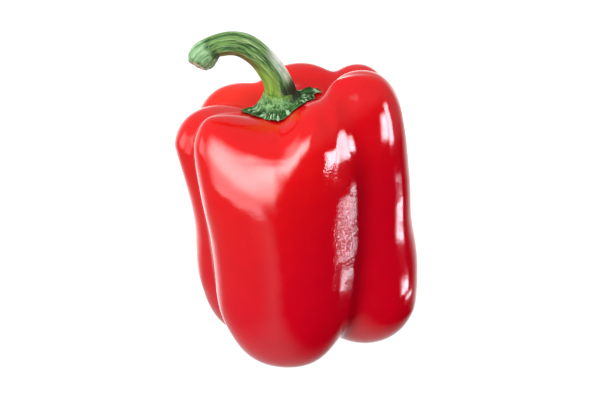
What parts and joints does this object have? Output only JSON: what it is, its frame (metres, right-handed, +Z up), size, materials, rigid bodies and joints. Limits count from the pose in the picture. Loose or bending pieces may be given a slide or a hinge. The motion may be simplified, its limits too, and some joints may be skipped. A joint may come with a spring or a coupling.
{
  "type": "bell pepper",
  "caption": "Blocky sweet bell pepper with deep-lobed glossy skin, a ragged calyx and a thick hooked stem, standing on its lobe tips.",
  "frame": {"origin": "centre of the bounding box in plan, on the surface the pepper stands on", "axes": "+Z up from the lobe tips to the stem; -Y is the broad front lobe's face; the stem hooks over towards -X"},
  "size_m": [0.0856, 0.075, 0.1149],
  "materials": {
    "skin": "glossy waxy red skin; stands in for living plant skin",
    "calyx_green": "matt dark green leaf tissue; stands in for plant tissue",
    "stem_green": "satin fibrous light green stem; stands in for plant tissue"
  },
  "bodies": {
    "root": {"fruit": "skin", "calyx": "calyx_green", "stem": "stem_green"}
  },
  "joints": []
}
